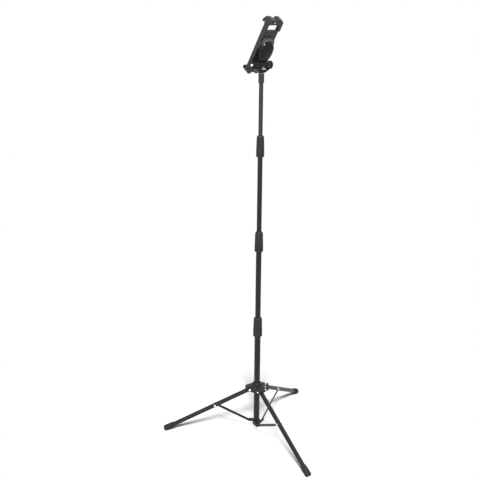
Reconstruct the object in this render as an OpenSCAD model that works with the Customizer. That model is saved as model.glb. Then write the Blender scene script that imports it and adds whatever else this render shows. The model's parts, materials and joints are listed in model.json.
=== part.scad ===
// Adjustable floor stand for a tablet: folding tripod, three-stage telescoping pole, tilting clamp.
// Millimetres. The origin lies on the floor under the pole, +Z is up, and the holder faces -Y.

/* [Pole] */
// Outer diameter of the main tube
main_od = 22; // [20:0.5:26]
// Wall of every pole tube
pole_wall = 0.9; // [0.7:0.1:1.2]
// Play between one pole tube and the next, on the radius
pole_play = 0.35; // [0.25:0.05:0.5]
// Height of the main tube's lower end above the floor
pole_foot_z = 30; // [26:1:34]
// Length of the main tube from its lower end to the first lock
main_show = 355; // [350:5:480]
// Length of the second tube that shows
second_show = 247; // [120:1:280]
// Length of the third tube that shows
third_show = 261; // [120:1:280]
// Length of the top tube that shows
top_show = 172; // [90:1:220]
// Length of a sliding tube below the end of the tube that carries it
insert_len = 100; // [70:5:140]

/* [Twist locks] */
// Height of a lock with its collar
lock_h = 73; // [66:1:90]
// Height of the lock ring that does not turn
lock_ring_h = 12; // [8:1:14]
// How far a lock stands out from its tube, on the radius
lock_wall = 5.5; // [5:0.25:7]
// How much a collar narrows towards its top, on the radius
collar_taper = 1.4; // [0.6:0.1:1.8]
// Round of a collar's top edge
collar_round = 3; // [1.5:0.5:3.5]
// Grip flutes round a collar
collar_flutes = 24; // [12:1:30]
// Depth of a grip flute
flute_depth = 0.6; // [0.3:0.1:0.8]

/* [Tripod] */
// Turn of the legs about the pole, away from the holder's back
leg_turn = -8; // [-30:1:30]
// Angle between an open leg and the pole
leg_spread = 62.3; // [50:0.1:66]
// Distance of the leg pivots and the strut pivots from the pole's axis
pivot_r = 26; // [25:0.5:32]
// Height of the leg pivots above the floor
hub_z = 173; // [150:1:178]
// Distance along a leg from its pivot to the strut's rivet, and the strut's own length
strut_len = 146; // [120:1:148]
// Outer diameter of a leg
leg_od = 16; // [14:0.5:17]
// Wall of a leg tube
leg_wall = 1.2; // [0.8:0.1:2]
// Radius of a foot at its wide end
foot_r = 11; // [10.5:0.25:13]
// Depth cut off a foot's rounded edge to make its flat sole
sole_cut = 2.2; // [1:0.1:3]
// Length of a foot's sleeve along the leg
foot_sleeve = 35; // [30:1:46]
// Width of a strut
strut_w = 9; // [7:0.5:11]
// Thickness of a strut
strut_t = 2; // [1.5:0.1:3]
// Diameter of the rivets through the struts
rivet_d = 4; // [3:0.25:5]
// Diameter of the rivets in the hub
hub_rivet_d = 5; // [4:0.25:6]
// Diameter of the hub's lock knob
lock_knob_d = 28; // [20:1:34]
// Thickness of the hub's lock knob
lock_knob_t = 10; // [8:0.5:14]
// Diameter of the lock knob's screw
lock_screw_d = 6; // [5:0.5:8]

/* [Neck] */
// Height of the fluted neck knob
neck_knob_h = 32; // [30:1:40]
// How far the fluted neck knob stands out from its tube, on the radius
neck_wall = 2.6; // [2.4:0.1:4]
// Height of the tilt axis above the neck knob
neck_rise = 26; // [25:0.5:34]
// Diameter of the stem that the yoke turns on
stem_d = 8; // [6:0.5:8.5]
// Width of the yoke over its ears
yoke_w = 78; // [70:1:90]
// Thickness of a yoke ear
yoke_ear_t = 13; // [8:0.5:15]
// Depth of the yoke from front to back
yoke_depth = 16; // [12:1:20]
// Radius of a yoke ear, over its corners
yoke_ear_r = 14; // [12.5:0.25:15]
// Diameter of the tilt axle
axle_d = 8; // [6:0.5:10]

/* [Holder] */
// Lean of the holder back from upright
lean = 33.5; // [10:0.5:60]
// Gap between the jaws' pads
jaw_gap = 178.5; // [172:0.5:186]
// Throat of a jaw, from the back pads to the hook's lip
throat = 7.5; // [7:0.5:12]
// Width of the holder bar
bar_w = 60; // [54:1:66]
// Depth of the holder bar from front to back
bar_t = 14; // [13:0.5:18]
// Wall of the holder bar
bar_wall = 3; // [2:0.25:3.5]
// Distance of the bar's back face in front of the tilt axis
bar_set = 18.5; // [18:0.5:22]
// Height of the turntable's axis above the tilt axis, along the bar
turn_rise = 67; // [62:1:70]
// Diameter of the turntable
turntable_d = 58; // [52:1:64]
// Wall of the upper jaw's sleeve round the bar
jaw_skin = 2.2; // [1.5:0.1:3]
// Height of the sleeve's lower edge above the turntable's rim
sleeve_rise = 19; // [12:1:24]
// Width of the gap between a jaw's two hooks
hook_gap = 20; // [14:1:28]
// Depth of a hook beyond the edge that it holds
hook_h = 12.5; // [11:0.5:16]
// Thickness of a hook's lip
lip_t = 2.5; // [2:0.25:5]
// How far a lip reaches over the edge that it holds
lip_reach = 8; // [5:0.5:11]
// Width of the window at the bar's foot
window_w = 38; // [30:1:40]
// Height of the window at the bar's foot
window_h = 16; // [10:1:16]
// Width of the window in the upper jaw
top_window_w = 44; // [36:1:46]
// Height of the window in the upper jaw
top_window_h = 18; // [12:1:19]
// Thickness of the rubber pads in the hooks
pad_t = 1.5; // [1:0.1:2.5]

/* [Hidden] */
$fn = 96;
// Clearances on the radius or on a face: fixed fit, turning or sliding fit, open running gap
fit = 0.05;
run = 0.1;
gap = 0.3;
// A little more than a cut needs, so that it comes out clean
over = 1;

// Pole tubes, from the main tube upwards
tube_r = [for (i = [0:3]) main_od/2 - i*(pole_wall + pole_play)];
lock_z0 = pole_foot_z + main_show;
lock_z1 = lock_z0 + lock_h + second_show;
lock_z2 = lock_z1 + lock_h + third_show;
neck_z = lock_z2 + lock_h + top_show;
lock_z = [lock_z0, lock_z1, lock_z2, neck_z];
// A lock's seat for its tube, the shoulder above it and the split collet's top under the collar's roof
tube_grip = 34;
seat_h = lock_ring_h + tube_grip;
shoulder_h = 3;
collar_roof = 6;
collet_h = lock_h - collar_roof;
collet_lip = 2;
sleeve_wall = 1.8;
edge = 1.2;
ring_bevel = 3;
slit_w = 1.2;
collets = 4;
ferrule_seat = 16;
tube_z = [pole_foot_z, for (i = [0:2]) lock_z[i] + seat_h - insert_len];
tube_top = [for (i = [0:2]) lock_z[i] + seat_h, neck_z + ferrule_seat];
plug_rim = 8;
plug_insert = 14;
plug_wall = 2;
plug_inset = 1.5;

// Tripod
leg_r = leg_od/2;
leg_nose = 1;
leg_end_r = leg_r + leg_nose;
leg_inset = 4;
// A foot is a sleeve with a rounded edge, and the edge's lowest part is cut flat on the floor
foot_round = 5;
foot_ring = foot_r - foot_round;
leg_len = (hub_z + sole_cut - foot_round - foot_ring*sin(leg_spread))/cos(leg_spread);
collar_z = hub_z - 2*strut_len*cos(leg_spread);
strut_gap = 2;
strut_y = leg_r + strut_gap;
lug_t = 3;
lug_rim = 1.5;
lug_y = strut_y + strut_t + gap;
lug_r = strut_w/2 + lug_rim;
rivet_head_r = rivet_d;
rivet_head_t = 1.2;
collar_wall = 3.2;
collar_h = 16;
cheek_in = leg_r + gap;
cheek_t = 4;
cheek_out = cheek_in + cheek_t;
hub_head_r = 0.9*hub_rivet_d;
barrel_gap = 1;
hub_play = 0.6;
barrel_r = pivot_r - leg_end_r - barrel_gap;
barrel_low = 9;
barrel_high = 28;
skirt_wall = 3;
skirt_low = 4;
skirt_high = 7;
arm_low = 6.5;
arm_reach = 17;
arm_round = 5;
roof_gap = 2.5;
roof_t = 8.5;
roof = leg_end_r + roof_gap;
// The hub's lock knob stands between the first two legs
knob_turn = 150 + leg_turn;
lock_rise = 8;
boss_wall = 4.5;
boss_reach = 18;
boss_r = lock_screw_d/2 + boss_wall;
boss_end = main_od/2 + boss_reach;
knob_gap = 4;
knob_cap = 3;
knob_in = boss_end + knob_gap;

// Neck and head, in a frame with its origin on the tilt axis, Y to the back and Z along the bar
tilt_z = neck_z + neck_knob_h + neck_rise;
stem_r = stem_d/2;
neck_r = tube_r[3] + neck_wall;
ferrule_wall = 0.8;
ferrule_r = tube_r[3] + ferrule_wall;
knob_wall_r = ferrule_r + gap;
neck_lip = 3.5;
neck_gap = 1;
yoke_low = neck_rise - neck_gap;
yoke_in = yoke_w/2 - yoke_ear_t;
axle_r = axle_d/2;
knuckle_wall = 8;
knuckle_r = axle_r + knuckle_wall;
knuckle_gap = 2.5;
washer_t = 1.1;
arm_half = yoke_in - washer_t - 2*run;
yoke_floor = knuckle_r + knuckle_gap;
stem_cap = 2;
stem_top = yoke_floor + stem_cap;
arm_front = -10;
turn_washer_t = 2.2;
turntable_t = bar_set + arm_front - turn_washer_t - 2*run;
paddle_inset = 2;
paddle_drop = 11;
paddle_r = turntable_d/2 - paddle_inset;
paddle_z = turn_rise - paddle_drop;
paddle_neck = 17;
tension_r = 1.9;
tension_head_r = 3.2;
tension_head_t = 2;
tension_sink = 0.6;
tension_seat = knuckle_r - tension_sink;
bolt_r = 4;
bolt_head_r = 7;
bolt_head_t = 4;
nut_r = 7.5;
nut_t = 4.5;
bar_back = -bar_set;
bar_front = bar_back - bar_t;
bar_pad_t = 1;
back_plane = bar_front - bar_pad_t;
lip_in = back_plane - throat;
lip_out = lip_in - lip_t;
mid_drop = 13;
mid_z = turn_rise - mid_drop;
top_edge = mid_z + jaw_gap/2 + pad_t;
low_edge = mid_z - jaw_gap/2 - pad_t;
sleeve_lo = turn_rise + turntable_d/2 + sleeve_rise;
sleeve_lap = 3;
bar_lift = 10.5;
bar_hi = sleeve_lo + sleeve_lap;
bar_lo = low_edge + bar_lift;
jaw_half = bar_w/2 + gap + jaw_skin;
cavity_w = bar_w - 2*bar_wall;
cavity_back = bar_back - bar_wall;
plate_t = 2.5;
spring_room = 2;
tongue_w = cavity_w - 2*spring_room;
tongue_front = bar_front + plate_t + gap;
tongue_back = cavity_back - gap;
nut_room = 2.5;
tongue_slot = 2*(nut_r + nut_room);
tongue_reach = 27;
tongue_lo = turn_rise - tongue_reach;
jaw_back = bar_back + gap + jaw_skin;
low_jaw_inset = 2;
low_jaw_back = bar_back - low_jaw_inset;
corner = 11;
hook_round = 6;
web_drop = 5;
lip_round = lip_t/2;
spring_t = 0.4;
spring_w = 4;
spring_half = 12;
spring_rise = 21;
spring_z = turn_rise + spring_rise;
spring_bow = spring_room - spring_t - run;
spring_r = (spring_half*spring_half + spring_bow*spring_bow)/(2*spring_bow);
window_lift = 6;
window_drop = 6;
rail_w = 3;
plate_drop = 6;
plate_hi = bar_hi - plate_drop;
low_window_z = bar_lo + window_lift;
screw_x = (cavity_w + window_w)/4;
screw_lift = 9;
screw_z = bar_lo + screw_lift;
screw_r = 3;
screw_head_t = 1.4;
screw_skin = 2;

ink = "#2a2b2e";
charcoal = "#45474b";
zinc = "#c9cbce";
rubber = "#1c1c1d";
nylon = "#5a5c60";

// Places: a leg's own frame (X outwards, Y round the pole), along a leg, and the leaning head
module at_leg(i) { rotate([0, 0, 90 + leg_turn + 120*i]) children(); }
module along_leg(i) {
    at_leg(i) translate([pivot_r, 0, hub_z]) rotate([0, 180 - leg_spread, 0]) children();
}
module head() { translate([0, 0, tilt_z]) rotate([-lean, 0, 0]) children(); }
module across(r, y0, y1) { translate([0, y1, 0]) rotate([90, 0, 0]) cylinder(r = r, h = y1 - y0); }
module sideways(r, x0, x1) { translate([x0, 0, 0]) rotate([0, 90, 0]) cylinder(r = r, h = x1 - x0); }
module slab(x, y0, y1, z0, z1) { translate([-x, y0, z0]) cube([2*x, y1 - y0, z1 - z0]); }
module pair() {
    children();
    mirror([1, 0, 0]) children();
}

// Pole
module tube(r, wall, z0, z1) {
    translate([0, 0, z0]) difference() {
        cylinder(r = r, h = z1 - z0);
        translate([0, 0, -over]) cylinder(r = r - wall, h = z1 - z0 + 2*over);
    }
}

module pole_tube(i) { color(charcoal) tube(tube_r[i], pole_wall, tube_z[i], tube_top[i]); }

module guide_plug(i) {
    rim_r = tube_r[i - 1] - pole_wall - run;
    core_r = tube_r[i] - pole_wall - fit;
    bevel = 0.5;
    color(nylon) translate([0, 0, tube_z[i]]) rotate_extrude() polygon([
        [core_r - plug_wall, -plug_rim], [rim_r - bevel, -plug_rim], [rim_r, bevel - plug_rim],
        [rim_r, 0], [core_r, 0], [core_r, plug_insert], [core_r - plug_wall, plug_insert]]);
}

module pole_plug() {
    core_r = tube_r[0] - pole_wall - fit;
    cap_r = core_r - plug_inset;
    cap_h = 10;
    cap_round = 4;
    color(ink) translate([0, 0, pole_foot_z]) rotate_extrude() {
        square([core_r, plug_insert]);
        translate([0, cap_round - cap_h]) square([cap_r, cap_h - cap_round]);
        translate([0, -cap_h]) square([cap_r - cap_round, cap_h]);
        translate([cap_r - cap_round, cap_round - cap_h]) circle(r = cap_round);
    }
}

// Twist locks: a split lock body fixed on the lower tube, and the collar that turns on it
module lock_body(i) {
    tube_fit = tube_r[i] + fit;
    slide_fit = tube_r[i + 1] + run;
    ring_r = tube_r[i] + lock_wall;
    sleeve_r = tube_fit + sleeve_wall;
    color(ink) translate([0, 0, lock_z[i]]) difference() {
        rotate_extrude() polygon([
            [tube_fit, 0], [ring_r - ring_bevel, 0], [ring_r, ring_bevel], [ring_r, lock_ring_h - edge],
            [ring_r - edge, lock_ring_h], [sleeve_r, lock_ring_h], [sleeve_r, seat_h + shoulder_h],
            [slide_fit + collet_lip, collet_h], [slide_fit, collet_h], [slide_fit, seat_h],
            [tube_fit, seat_h]]);
        for (k = [0:collets - 1]) rotate([0, 0, 360/collets*k])
            translate([0, -slit_w/2, seat_h + shoulder_h]) cube([2*ring_r, slit_w, lock_h]);
    }
}

module twist_collar(i) {
    low_r = tube_r[i] + lock_wall;
    top_r = low_r - collar_taper;
    low_z = lock_ring_h + 2*gap;
    bore_r = tube_r[i] + fit + sleeve_wall + gap;
    mouth_r = tube_r[i + 1] + gap;
    round_z = lock_h - collar_round;
    lean_angle = atan(collar_taper/(round_z - low_z));
    color(ink) translate([0, 0, lock_z[i]]) difference() {
        rotate_extrude() difference() {
            union() {
                polygon([[0, low_z], [low_r - edge, low_z], [low_r, low_z + edge],
                         [top_r, round_z], [0, round_z]]);
                square([top_r - collar_round, lock_h]);
                translate([top_r - collar_round, round_z]) circle(r = collar_round);
            }
            polygon([[0, 0], [bore_r, 0], [bore_r, seat_h + shoulder_h + gap],
                     [tube_r[i + 1] + collet_lip + 2*gap, collet_h + gap], [mouth_r, collet_h + gap],
                     [mouth_r, lock_h + over], [0, lock_h + over]]);
        }
        for (k = [0:collar_flutes - 1]) rotate([0, 0, 360/collar_flutes*k])
            translate([low_r + edge - flute_depth, 0, low_z + 2*edge]) rotate([0, -lean_angle, 0])
                cylinder(r = edge, h = round_z - low_z - 5*edge);
    }
}

// Neck clamp at the pole's top
module pole_ferrule() {
    top = neck_knob_h - neck_lip - gap;
    color(nylon) translate([0, 0, neck_z]) difference() {
        rotate_extrude() polygon([
            [tube_r[3] + fit, edge], [ferrule_r, edge], [ferrule_r, top - edge], [ferrule_r - edge, top],
            [stem_r + run, top], [stem_r + run, ferrule_seat], [tube_r[3] + fit, ferrule_seat]]);
        for (k = [0:2]) rotate([0, 0, 120*k])
            translate([0, -slit_w/2, ferrule_seat + shoulder_h]) cube([2*ferrule_r, slit_w, neck_knob_h]);
    }
}

module neck_knob() {
    foot = 4;
    foot_wall = 1.6;
    flutes = 10;
    flute_r = 1.7;
    cut = 0.8;
    color(ink) translate([0, 0, neck_z]) difference() {
        rotate_extrude() difference() {
            polygon([[0, 0], [tube_r[3] + foot_wall, 0], [neck_r, foot], [neck_r, neck_knob_h - edge],
                     [neck_r - edge, neck_knob_h], [0, neck_knob_h]]);
            polygon([[0, -over], [tube_r[3] + gap, -over], [tube_r[3] + gap, edge - gap],
                     [knob_wall_r, edge - gap], [knob_wall_r, neck_knob_h - neck_lip],
                     [stem_r + gap, neck_knob_h - neck_lip], [stem_r + gap, neck_knob_h + over],
                     [0, neck_knob_h + over]]);
        }
        for (k = [0:flutes - 1]) rotate([0, 0, 360/flutes*k])
            translate([neck_r + flute_r - cut, 0, 1.5*foot]) cylinder(r = flute_r, h = neck_knob_h);
    }
}

// Tripod
module strut_collar() {
    ring_r = main_od/2 + collar_wall;
    color(ink) difference() {
        union() {
            translate([0, 0, collar_z - collar_h/2]) cylinder(r = ring_r, h = collar_h);
            for (i = [0:2]) at_leg(i) {
                translate([pivot_r, -lug_y, collar_z]) rotate([90, 0, 0]) cylinder(r = lug_r, h = lug_t);
                translate([0, -lug_y - lug_t, collar_z - lug_r]) cube([pivot_r, lug_t, 2*lug_r]);
                translate([0, -lug_y - lug_t, collar_z - lug_r]) cube([ring_r/2, ring_r/2, 2*lug_r]);
            }
        }
        translate([0, 0, collar_z - collar_h]) cylinder(r = main_od/2 + fit, h = 2*collar_h);
        for (i = [0:2]) at_leg(i) translate([pivot_r, 0, collar_z])
            across(rivet_d/2 + fit, -lug_y - lug_t - over, 0);
    }
}

module collar_rivets() {
    color(zinc) for (i = [0:2]) at_leg(i) translate([pivot_r, 0, collar_z]) {
        across(rivet_d/2, -lug_y - lug_t - rivet_head_t, -strut_y + rivet_head_t);
        across(rivet_head_r, -strut_y + run, -strut_y + rivet_head_t);
        across(rivet_head_r, -lug_y - lug_t - rivet_head_t, -lug_y - lug_t);
    }
}

module strut(i) {
    color(charcoal) at_leg(i) translate([pivot_r, -strut_y, collar_z]) rotate([0, -(90 - leg_spread), 0])
        rotate([90, 0, 0]) linear_extrude(strut_t) difference() {
            union() {
                translate([0, -strut_w/2]) square([strut_len, strut_w]);
                for (x = [0, strut_len]) translate([x, 0]) circle(d = strut_w);
            }
            for (x = [0, strut_len]) translate([x, 0]) circle(r = rivet_d/2 + run);
        }
}

module leg_tube(i) {
    end = leg_len - leg_inset;
    color(charcoal) along_leg(i) difference() {
        intersection() {
            tube(leg_r, leg_wall, -leg_end_r, end);
            union() {
                across(leg_end_r, -leg_od, leg_od);
                translate([-leg_od, -leg_od, 0]) cube([2*leg_od, 2*leg_od, end]);
            }
        }
        across(hub_rivet_d/2 + run, -leg_od, leg_od);
        translate([0, 0, strut_len]) across(rivet_d/2 + fit, -leg_od, leg_od);
    }
}

module leg_foot(i) {
    low = leg_len - foot_sleeve;
    mouth_wall = 1.4;
    color(rubber) intersection() {
        along_leg(i) rotate_extrude() difference() {
            union() {
                polygon([[0, low], [leg_r + mouth_wall, low], [foot_r, leg_len - foot_sleeve/3],
                         [foot_r, leg_len], [foot_ring, leg_len + foot_round], [0, leg_len + foot_round]]);
                translate([foot_ring, leg_len]) circle(r = foot_round);
            }
            translate([0, low - over]) square([leg_r + fit, foot_sleeve - leg_inset + over]);
        }
        translate([-2*leg_len, -2*leg_len, 0]) cube(4*leg_len);
    }
}

module leg_rivet(i) {
    color(zinc) along_leg(i) translate([0, 0, strut_len]) {
        across(rivet_d/2, -strut_y - strut_t - rivet_head_t, leg_r + rivet_head_t);
        across(rivet_head_r, -strut_y - strut_t - rivet_head_t, -strut_y - strut_t - run);
        difference() {
            union() {
                across(rivet_head_r, -strut_y + run, 0);
                across(rivet_head_r, 0, leg_r + rivet_head_t);
            }
            translate([0, 0, -leg_od]) cylinder(r = leg_r + fit, h = 2*leg_od);
        }
    }
}

// Hub that carries the leg pivots: an umbrella with three hoods for the legs, on a sleeve that slides
module hub_arm() {
    in = (main_od/2 + barrel_r)/2;
    nose = pivot_r + arm_reach - arm_round;
    top = roof + roof_t;
    rotate([90, 0, 0]) linear_extrude(2*cheek_out, center = true) {
        polygon([[in, -arm_low], [pivot_r, -arm_low], [nose, roof - 2*arm_round], [nose, roof], [in, top]]);
        translate([pivot_r, 0]) circle(r = arm_low);
        translate([nose, roof - arm_round]) circle(r = arm_round);
    }
}

// The leg's room in an arm, under a roof that slopes down outwards
module hub_slot() {
    in = main_od/2;
    past = 2*arm_reach;
    slope = 0.5;
    rotate([90, 0, 0]) linear_extrude(2*cheek_in, center = true) polygon([
        [in, -past], [pivot_r + past, -past], [pivot_r + past, roof - slope*past],
        [pivot_r, roof], [in, roof]]);
}

module hub() {
    rim_r = pivot_r + barrel_gap;
    under = roof - skirt_wall;
    skirt_top = roof + roof_t/2;
    color(ink) translate([0, 0, hub_z]) difference() {
        union() {
            rotate_extrude() polygon([
                [barrel_r, under], [rim_r - skirt_wall, skirt_high - skirt_wall],
                [rim_r - skirt_wall, -skirt_low], [rim_r, -skirt_low], [rim_r, skirt_high - edge],
                [rim_r - edge, skirt_high], [barrel_r, skirt_top]]);
            for (i = [0:2]) at_leg(i) hub_arm();
            rotate([0, 0, knob_turn]) translate([0, 0, lock_rise]) sideways(boss_r, main_od/2, boss_end);
        }
        for (i = [0:2]) at_leg(i) hub_slot();
        translate([0, 0, -2*barrel_low]) cylinder(r = barrel_r + fit, h = 4*barrel_high);
        for (i = [0:2]) at_leg(i) translate([pivot_r, 0, 0]) {
            across(hub_rivet_d/2 + fit, -2*leg_od, 2*leg_od);
            across(hub_head_r + gap, cheek_out, 2*leg_od);
            across(hub_head_r + gap, -2*leg_od, -cheek_out);
        }
        rotate([0, 0, knob_turn]) translate([0, 0, lock_rise])
            sideways(lock_screw_d/2 + run, 0, boss_end + over);
    }
}

// Sleeve of the hub: it slides on the main tube, and the lock screw passes through its wall
module hub_sleeve() {
    bore_r = main_od/2 + hub_play;
    color(ink) translate([0, 0, hub_z]) difference() {
        rotate_extrude() polygon([
            [bore_r, -barrel_low], [barrel_r - edge, -barrel_low], [barrel_r, edge - barrel_low],
            [barrel_r, barrel_high - 2*edge], [barrel_r - 2*edge, barrel_high], [bore_r, barrel_high]]);
        rotate([0, 0, knob_turn]) translate([0, 0, lock_rise])
            sideways(lock_screw_d/2 + run, 0, boss_end + over);
    }
}

module hub_rivets() {
    head_t = 1.6;
    color(zinc) for (i = [0:2]) at_leg(i) translate([pivot_r, 0, hub_z]) {
        across(hub_rivet_d/2, -cheek_out - head_t, cheek_out + head_t);
        across(hub_head_r, -cheek_out - head_t, -cheek_out);
        across(hub_head_r, cheek_out, cheek_out + head_t);
    }
}

module lock_place() { translate([0, 0, hub_z + lock_rise]) rotate([0, 0, knob_turn]) children(); }

module lock_screw() {
    color(zinc) lock_place() sideways(lock_screw_d/2, main_od/2 + gap, knob_in + lock_knob_t - knob_cap);
}

module lock_knob() {
    lobes = 8;
    lobe_r = 4;
    lobe_cut = 1.6;
    bevel = 2;
    knob_r = lock_knob_d/2;
    color(ink) lock_place() translate([knob_in, 0, 0]) rotate([0, 90, 0]) difference() {
        rotate_extrude() polygon([
            [0, 0], [knob_r - bevel, 0], [knob_r, bevel], [knob_r, lock_knob_t - bevel],
            [knob_r - bevel, lock_knob_t], [0, lock_knob_t]]);
        translate([0, 0, -over])
            cylinder(r = lock_screw_d/2 + fit, h = lock_knob_t - knob_cap + over + fit);
        for (k = [0:lobes - 1]) rotate([0, 0, 360/lobes*(k + 0.5)])
            translate([knob_r + lobe_r - lobe_cut, 0, -over])
                cylinder(r = lobe_r, h = lock_knob_t + 2*over);
    }
}

// Yoke that pans on the pole's top and carries the tilt axle
module yoke() {
    half = yoke_w/2;
    foot = neck_r - neck_gap/2;
    octagon = 22.5;
    bevel = 4;
    floor_bevel = knuckle_gap - 2*gap;
    ear_low = yoke_ear_r*cos(octagon);
    color(ink) translate([0, 0, tilt_z]) difference() {
        union() {
            rotate([90, 0, 0]) linear_extrude(yoke_depth, center = true) polygon([
                [-foot, -yoke_low], [foot, -yoke_low], [half, bevel - ear_low], [half, 0], [yoke_in, 0],
                [yoke_in, floor_bevel - yoke_floor], [yoke_in - floor_bevel, -yoke_floor],
                [floor_bevel - yoke_in, -yoke_floor], [-yoke_in, floor_bevel - yoke_floor],
                [-yoke_in, 0], [-half, 0], [-half, bevel - ear_low]]);
            pair() translate([yoke_in, 0, 0]) rotate([0, 90, 0]) rotate([0, 0, octagon])
                cylinder(r = yoke_ear_r, h = yoke_ear_t, $fn = 8);
            translate([0, 0, -yoke_low]) cylinder(r = foot, h = yoke_low - yoke_floor);
        }
        sideways(axle_r + fit, -yoke_w, yoke_w);
        translate([0, 0, -yoke_low - over]) cylinder(r = stem_r + fit, h = yoke_low - stem_top + over);
    }
}

module yoke_stem() {
    low = neck_z + ferrule_seat/3;
    color(zinc) translate([0, 0, low]) cylinder(r = stem_r, h = tilt_z - stem_top - low);
}

module tilt_axle() { color(zinc) translate([0, 0, tilt_z]) sideways(axle_r, -yoke_w/2, yoke_w/2); }

module tilt_screws() {
    head_rim = 1;
    head_r = axle_r + head_rim;
    head_t = 4;
    key_r = 2;
    color(zinc) translate([0, 0, tilt_z]) pair() difference() {
        sideways(head_r, yoke_w/2, yoke_w/2 + head_t);
        translate([yoke_w/2 + head_t/2, 0, 0]) rotate([0, 90, 0]) cylinder(r = key_r, h = head_t, $fn = 6);
    }
}

module tilt_washers() {
    color(nylon) translate([0, 0, tilt_z]) pair() difference() {
        sideways(knuckle_r, arm_half + run, arm_half + run + washer_t);
        sideways(axle_r + run, 0, yoke_w);
    }
}

// Paddle arm between the tilt axle and the turntable, with a domed back
module paddle_outline() {
    translate([0, paddle_z]) circle(r = paddle_r);
    polygon([[-paddle_neck, 0], [paddle_neck, 0], [paddle_neck, knuckle_r],
             [paddle_r, paddle_z], [-paddle_r, paddle_z], [-paddle_neck, knuckle_r]]);
}

module paddle_arm() {
    dome_r = 90;
    dome_y = 6;
    dome_z = 0.75*paddle_z;
    color(ink) head() difference() {
        union() {
            sideways(knuckle_r, -arm_half, arm_half);
            intersection() {
                translate([0, knuckle_r, 0]) rotate([90, 0, 0])
                    linear_extrude(knuckle_r - arm_front) paddle_outline();
                translate([0, dome_y - dome_r, dome_z]) sphere(r = dome_r);
            }
        }
        sideways(axle_r + run, -yoke_w, yoke_w);
        translate([0, 0, turn_rise])
            across(bolt_head_r + fit, arm_front - over, arm_front + bolt_head_t + gap);
        across(tension_r + fit, axle_r, 2*knuckle_r);
        across(tension_head_r + gap, tension_seat, 2*knuckle_r);
    }
}

module tension_screw() {
    slot = 1;
    color(zinc) head() difference() {
        union() {
            across(tension_r, axle_r + 2*gap, tension_seat + fit);
            across(tension_head_r, tension_seat, tension_seat + tension_head_t);
        }
        slab(slot/2, tension_seat + tension_head_t/2, tension_seat + tension_head_t + over,
             -knuckle_r, knuckle_r);
    }
}

module turn_bolt() {
    head_y = arm_front + bolt_head_t;
    color(zinc) head() translate([0, 0, turn_rise]) {
        across(bolt_head_r, arm_front, head_y);
        across(bolt_r, cavity_back - run - nut_t, head_y);
    }
}

module turn_nut() {
    color(zinc) head() translate([0, cavity_back - run, turn_rise]) rotate([90, 0, 0]) difference() {
        cylinder(r = nut_r, h = nut_t, $fn = 6);
        translate([0, 0, -over]) cylinder(r = bolt_r + fit, h = nut_t + 2*over);
    }
}

module turn_washer() {
    color(nylon) head() translate([0, 0, turn_rise]) difference() {
        across(paddle_r - 1.5*paddle_inset, arm_front - turn_washer_t, arm_front);
        across(bolt_r + fit, arm_front - 2*turn_washer_t, arm_front + over);
    }
}

module turntable() {
    r = turntable_d/2;
    color(ink) head() translate([0, bar_back, turn_rise]) rotate([-90, 0, 0]) rotate_extrude() polygon([
        [bolt_r + run, 0], [r, 0], [r, turntable_t - edge], [r - edge, turntable_t],
        [bolt_r + run, turntable_t]]);
}

// Holder bar: a channel with a window at its foot, closed at the front by a plate
module bar_window(z) { slab(window_w/2, bar_front - over, bar_back + over, z, z + window_h); }

module holder_bar() {
    half = bar_w/2;
    bevel = 2;
    recess = 1.2;
    rim = 4;
    recess_lo = low_window_z + window_h + rim;
    color(ink) head() difference() {
        translate([0, 0, bar_lo]) linear_extrude(bar_hi - bar_lo) polygon([
            [-half, bar_front], [half, bar_front], [half, bar_back - bevel], [half - bevel, bar_back],
            [bevel - half, bar_back], [-half, bar_back - bevel]]);
        slab(cavity_w/2, bar_front - over, cavity_back, bar_lo - over, bar_hi + over);
        difference() {
            slab(half - rim, bar_back - recess, bar_back + over, recess_lo, bar_hi - rim);
            translate([0, 0, turn_rise])
                across(turntable_d/2 + edge, bar_back - bar_t, bar_back + 2*over);
        }
        bar_window(low_window_z);
        translate([0, 0, turn_rise]) across(bolt_r + run, bar_front, bar_back + over);
        pair() translate([screw_x, 0, screw_z]) {
            across(screw_r/2 + fit, cavity_back - over, bar_back + over);
            across(screw_r + fit, bar_back - screw_head_t, bar_back + over);
        }
    }
}

module front_plate() {
    color(ink) head() difference() {
        slab(cavity_w/2 - fit, bar_front, bar_front + plate_t, bar_lo, plate_hi);
        bar_window(low_window_z);
    }
}

module bar_pads() {
    half = cavity_w/2 - bar_wall;
    h = 9;
    inset = 4;
    color(rubber) head() for (z = [low_window_z + window_h + inset, plate_hi - h - inset])
        slab(half, back_plane, bar_front, z, z + h);
}

module brake_springs() {
    out = tongue_w/2 + run;
    mid_y = (tongue_front + tongue_back - spring_w)/2;
    color(zinc) head() pair() translate([out + spring_r, mid_y, spring_z]) intersection() {
        difference() {
            across(spring_r, 0, spring_w);
            across(spring_r - spring_t, -over, spring_w + over);
        }
        translate([-spring_r - over, 0, -spring_half]) cube([spring_r, spring_w, 2*spring_half]);
    }
}

// Jaws: a plate with two hooks, drawn for the upper jaw with the held edge at z = 0
module hook_profile(back) {
    lip_z = lip_round - lip_reach;
    round_y = lip_out + hook_round;
    round_z = hook_h - hook_round;
    difference() {
        union() {
            translate([round_y, -lip_reach]) square([back - round_y, lip_reach + hook_h]);
            translate([lip_out, lip_z]) square([hook_round + over, round_z - lip_z]);
            translate([lip_out + lip_round, lip_z]) circle(r = lip_round);
            translate([round_y, round_z]) circle(r = hook_round);
        }
        translate([lip_in, -3*lip_reach]) square([bar_front - lip_in, 3*lip_reach]);
    }
}

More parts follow.
